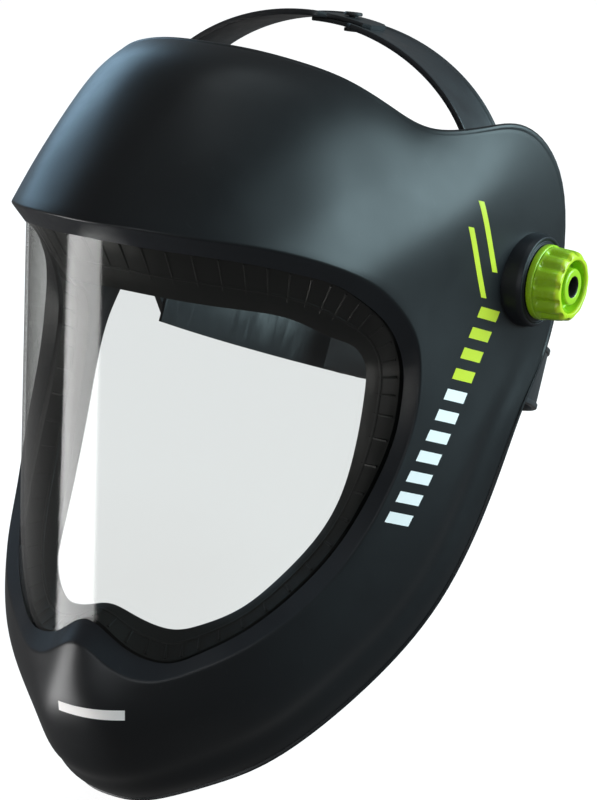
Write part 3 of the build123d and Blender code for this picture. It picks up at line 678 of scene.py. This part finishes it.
# ================================================================ frame behind the lens
lip = TRACKS[6]
frame_rings = []
frame_places = []
for i in range(COLUMNS):
    n_lens = lens_normal(foot[i])
    away = surface[i, FACE_STEP] - foot[i]
    away = unit(away - n_lens * np.dot(away, n_lens))
    knee = foot[i] - n_lens * (FRAME_DEPTH + 0.15)
    tip = foot[i] + away * (LENS_LAP - 1.0) - n_lens * (FRAME_DEPTH + 0.3)
    leg = unit(lip[i] - knee)
    side = unit(away - leg * np.dot(away, leg))
    tip_back = tip - n_lens * FRAME_THICK
    lip_back = lip[i] + side * FRAME_THICK
    knee_back = knee - n_lens * FRAME_THICK + side * FRAME_THICK
    ring = [tip, knee, knee + (lip[i] - knee) * 0.33, knee + (lip[i] - knee) * 0.66, lip[i] - leg * 0.8,
            lip[i] + leg * 0.1 + side * 0.5, lip_back - side * 0.4, lip_back - leg * 0.8,
            knee_back + (lip_back - knee_back) * 0.5, knee_back, tip_back]
    frame_rings.append(ring)
    frame_places.append((knee, leg, side, lip[i]))
points, faces = loops(frame_rings, closed_path=True)
make_mesh("inner_frame", points, faces, 30, "helmet", "frame_plastic", ["lens_frame"], M_FRAME)

# thin raised ribs across the frame's leg, and one bead that runs round it
tick_parts = []
for i in range(0, COLUMNS, 4):
    knee, leg, side, lip_point = frame_places[i]
    length = np.linalg.norm(lip_point - knee)
    run = unit(np.cross(leg, side))
    start, end = knee + leg * 1.2, lip_point - leg * length * 0.35
    ring_a, ring_b = [], []
    for w, n in ((-0.7, 0.2), (-0.35, -0.7), (0.35, -0.7), (0.7, 0.2)):
        ring_a.append(start + run * w + side * n)
        ring_b.append(end + run * w + side * (n if n > 0 else -0.1))
    tick_parts.append(loops([ring_a, ring_b]))
points, faces = joined(tick_parts)
make_mesh("frame_ribs", points, faces, 30, "helmet", "frame_plastic", (), M_FRAME)
bead_rings = []
for knee, leg, side, lip_point in frame_places:
    length = np.linalg.norm(lip_point - knee)
    centre = knee + leg * length * 0.55
    turns = np.linspace(0, 2 * pi, 9)[:-1]
    bead_rings.append([centre + leg * 0.7 * cos(t) - side * 0.5 * sin(t) for t in turns])
points, faces = loops(bead_rings, closed_path=True)
make_mesh("frame_bead", points, faces, 60, "helmet", "frame_plastic", (), M_FRAME)


# ================================================================ pivot knobs
def scallop(angle, radius, x):
    """Twelve shallow flutes round the rim, none near the hub or in the flange."""
    if radius < 13.5 or x < 124.6:
        return radius
    wave = 0.5 + 0.5 * cos(12 * angle)
    depth = 1.7 * smooth(radius, 13.5, 15.6) * smooth(x, 124.4, 125.8)
    return radius - depth * (1 - wave) ** 2.2


flange = rounded([
    (17.0, KNOB_BASE_X), (17.0, 124.0), (15.0, 124.3), (5.2, 124.3), (5.2, KNOB_BASE_X),
], 0.6, 3)
both_sides("knob_flange", lathe_x(flange, 96), body="knob_SIDE", slot="knob_lime", material=M_LIME,
           replaces=["pivot_knob_SIDE"])
grip = rounded([
    (16.6, 124.1), (16.4, 126.0), (16.2, 132.0), (15.7, 135.0), (14.2, 136.5), (12.4, KNOB_FACE_X),
    (11.9, 135.9), (11.7, 130.3), (8.5, 130.1), (8.3, 135.6), (7.7, 136.2), (5.0, 136.2),
    (4.5, 135.6), (4.5, 129.4), (5.2, 129.3), (5.2, 124.1),
], 0.7, 3)
knobs = both_sides("knob_grip", lathe_x(grip, 192, scallop), body="knob_SIDE", slot="knob_lime",
                   material=M_LIME)
for knob in knobs:
    knob.data.materials.append(M_LIME_HIGHLIGHT)
    knob.data.materials.append(M_BORE_SHADE)
    for polygon in knob.data.polygons:
        x = abs(polygon.center.x) / MM
        r = hypot(polygon.center.y, polygon.center.z) / MM
        # faces on the rim of the knob's face get the painted highlight
        if x > 133.8 and r > 11.9:
            polygon.material_index = 1
        # faces round the central bore get the painted shade
        elif r < 5.0:
            polygon.material_index = 2


# ================================================================ straps
def ring_band(half_width, half_depth, plane_origin, tilt_y, tilt_n, angles):
    """Path, width and outward directions along an ellipse: angle 0 is +X, 90 the plane's +y."""
    path, wide, out = [], [], []
    for angle in angles:
        c, s = cos(radians(angle)), sin(radians(angle))
        path.append(plane_origin + np.array([half_width * c, 0, 0]) + tilt_y * half_depth * s)
        out.append(unit(np.array([c / half_width, 0, 0]) + tilt_y * (s / half_depth)))
        wide.append(tilt_n)
    return np.array(path), np.array(wide), np.array(out)


def rimmed(width, thick, rim=0.7, rim_wide=2.2, face=0.0):
    """A strap's section: a flat sheet whose two edges are raised on the outside. (across, outwards)."""
    h = width / 2
    return rounded([
        (-h, -thick), (h, -thick), (h, rim), (h - rim_wide, rim), (h - rim_wide - 0.7, face),
        (-h + rim_wide + 0.7, face), (-h + rim_wide, rim), (-h, rim),
    ], 0.5, 2)


lean = np.array([0, sin(CROWN_LEAN), cos(CROWN_LEAN)])
across = np.array([0, -cos(CROWN_LEAN), sin(CROWN_LEAN)])


def crown_half(rise, end_x):
    semi_w, semi_h = CROWN_HALF_WIDTH, CROWN_HEIGHT - CROWN_FOOT + rise
    path, out = [], []
    base = across * CROWN_FORWARD
    end_angle = 90 + np.degrees(np.arcsin(-end_x / semi_w))
    for angle in np.linspace(1.2, end_angle, 64):
        c, s = cos(radians(angle)), sin(radians(angle))
        path.append(base + np.array([semi_w * c, 0, 0]) + lean * (CROWN_FOOT + semi_h * s))
        out.append(unit(np.array([c / semi_w, 0, 0]) + lean * (s / semi_h)))
    path, out = np.array(path), np.array(out)
    wide = np.array([across] * len(path))

    def section(i):
        x = path[i][0]
        tongue = 1 - smooth(x, end_x + 20, end_x + 26)
        width = CROWN_WIDTH - 11.5 * tongue
        tip = max(0.0, 1 - (x - end_x) / 4) if x < end_x + 4 else 0.0
        width *= 1 - 0.35 * tip**2
        return rimmed(width, STRAP_THICK, 0.75 * (1 - tongue) + 0.05, 2.4)

    return sweep(path, wide, out, section)


points, faces = crown_half(0.0, -6.0)
make_mesh("crown_band_left", points, faces, 30, "headgear", "strap_plastic", ["crown_strap_left"], M_STRAP)
points, faces = crown_half(2.2, -26.0)
make_mesh("crown_band_right", mirror_x(points), faces, 30, "headgear", "strap_plastic", ["crown_strap_right"],
          M_STRAP)

# forehead band
band_y = np.array([0, cos(BAND_TILT), -sin(BAND_TILT)])
band_n = np.array([0, sin(BAND_TILT), cos(BAND_TILT)])
reach = np.degrees(np.arcsin(34 / BAND_HALF_DEPTH))
path, wide, out = ring_band(BAND_HALF_WIDTH, BAND_HALF_DEPTH, BAND_CENTRE, band_y, band_n,
                            np.linspace(-reach, -180 + reach, 90))
points, faces = sweep(path, wide, out, lambda i: rimmed(BAND_HEIGHT, BAND_THICK - 0.6, 0.0, 2.2, -0.55))
make_mesh("brow_band", points, faces, 30, "headgear", "strap_plastic", ["forehead_band"], M_STRAP)


# ================================================================ CAD pieces with softened edges
def softened(node, name, body, material, width=0.45, segments=2, sharp=40):
    """The CAD piece with its hard edges rounded off, as a new piece that stands for it."""
    mesh = NODES[node].data.copy()
    work = bmesh.new()
    work.from_mesh(mesh)
    bmesh.ops.remove_doubles(work, verts=work.verts, dist=1e-6)
    bmesh.ops.dissolve_limit(work, angle_limit=radians(1.0), verts=work.verts, edges=work.edges)
    work.to_mesh(mesh)
    work.free()
    mesh.materials.clear()
    piece = adopt(name, mesh, None, body, [node], material, flip=False)
    modifier = piece.modifiers.new("edges", "BEVEL")
    modifier.width = width * MM
    modifier.segments = segments
    modifier.limit_method = "ANGLE"
    modifier.angle_limit = radians(38)
    modifier.harden_normals = False
    bake(piece)
    piece.data.polygons.foreach_set("use_smooth", [True] * len(piece.data.polygons))
    piece.data.set_sharp_from_angle(angle=radians(sharp))
    return piece


def bake(piece):
    """Applies every modifier of a piece to its mesh."""
    graph = bpy.context.evaluated_depsgraph_get()
    result = bpy.data.meshes.new_from_object(piece.evaluated_get(graph))
    piece.modifiers.clear()
    old = piece.data
    piece.data = result
    bpy.data.meshes.remove(old)


def dress(node, material):
    """A CAD piece that stays as it is, with its own material."""
    data = NODES[node].data
    data.materials.clear()
    data.materials.append(material)


for side in ("left", "right"):
    softened(f"side_arm_{side}", f"arm_{side}", "headgear", M_STRAP, 0.5)
    softened(f"tilt_stop_{side}", f"stop_{side}", "headgear", M_GRIP, 0.4)
    dress(f"friction_washer_{side}", M_NYLON)
    dress(f"pivot_bolt_{side}", M_STEEL)
dress("arm_rivets", M_STEEL)
dress("frame_clips", M_FRAME)
softened("crown_pin", "crown_stud", "headgear", M_GRIP, 0.3)
softened("ratchet_cover", "rear_cover", "ratchet_unit", M_GRIP, 0.5)
dress("ratchet_housing", M_STRAP)
softened("ratchet_knob", "rear_dial", "ratchet_dial", M_GRIP, 0.5)
dress("ratchet_pinion", M_NYLON)
dress("ratchet_screw", M_STEEL)

# nape straps: the CAD sheets with their slots, and raised rims along both edges
nape_y = np.array([0, cos(NAPE_TILT), -sin(NAPE_TILT)])
nape_n = np.array([0, sin(NAPE_TILT), cos(NAPE_TILT)])
for side, less in (("left", 0.0), ("right", 1.7)):
    strap = softened(f"nape_strap_{side}", f"nape_band_{side}", None, M_STRAP, 0.3)
    stop = np.degrees(np.arccos(48 / NAPE_HALF_WIDTH))
    path, wide, out = ring_band(NAPE_HALF_WIDTH, NAPE_DEPTH - less, NAPE_START, nape_y, nape_n,
                                np.linspace(-6, stop, 60))
    rims = []
    for edge in (-1, 1):
        line = path + wide * edge * (NAPE_HEIGHT / 2 - 1.5)
        profile = rounded([(-1.4, -0.3), (1.4, -0.3), (1.1, 0.8), (-1.1, 0.8)], 0.4, 2)
        rims.append(sweep(line, wide, out, lambda i, p=profile: p))
    points, faces = joined(rims)
    points = points if side == "left" else mirror_x(points)
    rim = make_mesh(f"nape_rims_{side}", points, faces, 30, None, "strap_plastic", (), M_STRAP)
    for piece in (strap, rim):
        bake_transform(piece)


# ================================================================ pads
def pad(node, name, body, shrink, cap, voxel):
    """A padded piece: the CAD solid drawn in a little, then blown up as cloth under pressure."""
    source = NODES[node]
    mesh = source.data.copy()
    work = bmesh.new()
    work.from_mesh(mesh)
    bmesh.ops.remove_doubles(work, verts=work.verts, dist=1e-6)
    work.to_mesh(mesh)
    work.free()
    mesh.materials.clear()
    piece = bpy.data.objects.new(name, mesh)
    bpy.context.scene.collection.objects.link(piece)
    remesh = piece.modifiers.new("remesh", "REMESH")
    remesh.mode = "VOXEL"
    remesh.voxel_size = voxel * MM
    bake(piece)
    data = piece.data
    count = len(data.vertices)
    co = np.empty(count * 3)
    data.vertices.foreach_get("co", co)
    normal = np.empty(count * 3)
    data.vertices.foreach_get("normal", normal)
    start = co.reshape(-1, 3) - normal.reshape(-1, 3) * shrink * MM
    data.vertices.foreach_set("co", start.ravel())
    cloth = piece.modifiers.new("cloth", "CLOTH")
    settings = cloth.settings
    settings.quality = 5
    settings.mass = 0.3
    settings.tension_stiffness = 12
    settings.compression_stiffness = 12
    settings.bending_stiffness = 0.4
    settings.use_pressure = True
    settings.uniform_pressure_force = 4
    settings.effector_weights.gravity = 0
    cloth.point_cache.frame_start = 1
    cloth.point_cache.frame_end = 20
    for number in range(1, 21):
        bpy.context.scene.frame_set(number)
    graph = bpy.context.evaluated_depsgraph_get()
    moved = piece.evaluated_get(graph).to_mesh()
    after = np.empty(count * 3)
    moved.vertices.foreach_get("co", after)
    piece.evaluated_get(graph).to_mesh_clear()
    shift = after.reshape(-1, 3) - start
    far = np.linalg.norm(shift, axis=1, keepdims=True)
    shift *= np.minimum(1, cap * MM / np.maximum(far, 1e-9))
    piece.modifiers.clear()
    bpy.context.scene.frame_set(1)
    data.vertices.foreach_set("co", (start + shift).ravel())
    relax = piece.modifiers.new("relax", "SMOOTH")
    relax.factor = 0.5
    relax.iterations = 4
    finer = piece.modifiers.new("finer", "SUBSURF")
    finer.levels = 1
    bake(piece)
    piece.data.polygons.foreach_set("use_smooth", [True] * len(piece.data.polygons))
    piece.data.materials.append(M_FABRIC)
    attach(piece, body)
    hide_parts(node)
    return piece


pad("sweatband", "brow_pad", "headgear", 1.0, 2.0, 2.6)
pad("nape_pad", "rear_pad", "ratchet_unit", 1.0, 2.0, 2.6)

# ================================================================ camera, floor and lights
AZ, EL, DISTANCE = radians(32.5), radians(20.11), 1308.46
AIM_RIGHT, AIM_UP = 7.197, 75.218
right = np.array([cos(AZ), sin(AZ), 0])
back = np.array([sin(AZ) * cos(EL), -cos(AZ) * cos(EL), sin(EL)])
up = np.cross(back, right)
eye = (back * DISTANCE - right * AIM_RIGHT - up * AIM_UP) * MM
camera_data = bpy.data.cameras.new("camera")
camera_data.lens = 125.67
camera_data.sensor_width = 36
camera = bpy.data.objects.new("camera", camera_data)
camera.matrix_world = Matrix((
    (right[0], up[0], back[0], eye[0]), (right[1], up[1], back[1], eye[1]),
    (right[2], up[2], back[2], eye[2]), (0, 0, 0, 1),
))
bpy.context.scene.collection.objects.link(camera)
bpy.context.scene.camera = camera

# white floor and walls, which only the camera sees
ROOM = 9
floor_z = CAD_BOX[0][2]
floor_mesh = bpy.data.meshes.new("floor")
floor_corners = [(-ROOM, -ROOM), (ROOM, -ROOM), (ROOM, ROOM), (-ROOM, ROOM)]
floor_mesh.from_pydata([(x, y, z) for z in (floor_z, ROOM) for x, y in floor_corners], [],
                       [(0, 1, 2, 3), (0, 1, 5, 4), (1, 2, 6, 5), (2, 3, 7, 6), (3, 0, 4, 7)])
floor = bpy.data.objects.new("floor", floor_mesh)
bpy.context.scene.collection.objects.link(floor)
floor_material = bpy.data.materials.new("floor")
floor_material.use_nodes = True
floor_shader = floor_material.node_tree.nodes["Principled BSDF"]
floor_shader.inputs["Base Color"].default_value = (0.25, 0.25, 0.25, 1)
floor_shader.inputs["Roughness"].default_value = 0.9
floor_shader.inputs["Specular IOR Level"].default_value = 0.1
floor_shader.inputs["Emission Color"].default_value = (1, 1, 1, 1)
floor_shader.inputs["Emission Strength"].default_value = 0.93
floor_mesh.materials.append(floor_material)
floor.visible_glossy = False
floor.visible_diffuse = False


def area_light(name, place, target, size, power, colour=(1, 1, 1), size_y=None):
    data = bpy.data.lights.new(name, "AREA")
    data.shape = "RECTANGLE"
    data.size = size
    data.size_y = size_y or size
    data.energy = power
    data.color = colour
    lamp = bpy.data.objects.new(name, data)
    lamp.location = place
    lamp.rotation_euler = (Vector(place) - Vector(target)).to_track_quat("Z", "Y").to_euler()
    bpy.context.scene.collection.objects.link(lamp)
    return lamp


HEAD = (0, -0.06, -0.03)
area_light("sky_left", (-1.15, 0.50, 0.42), HEAD, 0.8, 5, (0.45, 0.74, 1.0), 0.7)
area_light("side_right", (1.25, 0.62, 0.46), HEAD, 1.1, 36, (0.66, 0.92, 1.0), 1.0)
area_light("front", (0.5, -1.6, 0.45), HEAD, 0.4, 4, (0.9, 0.95, 1.0), 0.9)
area_light("top", (0.1, 0.3, 1.9), HEAD, 1.0, 4, (0.85, 0.96, 1.0))
streak = area_light("lens_streak", (-0.34, -0.48, -0.20), (-0.006, -0.176, -0.04), 0.30, 3.6,
                    size_y=0.42)
streak.visible_camera = False
world = bpy.data.worlds.new("world")
bpy.context.scene.world = world
world.use_nodes = True
world.node_tree.nodes["Background"].inputs["Color"].default_value = (1, 1, 1, 1)
world.node_tree.nodes["Background"].inputs["Strength"].default_value = 0.16
bpy.context.scene.view_settings.view_transform = "Standard"
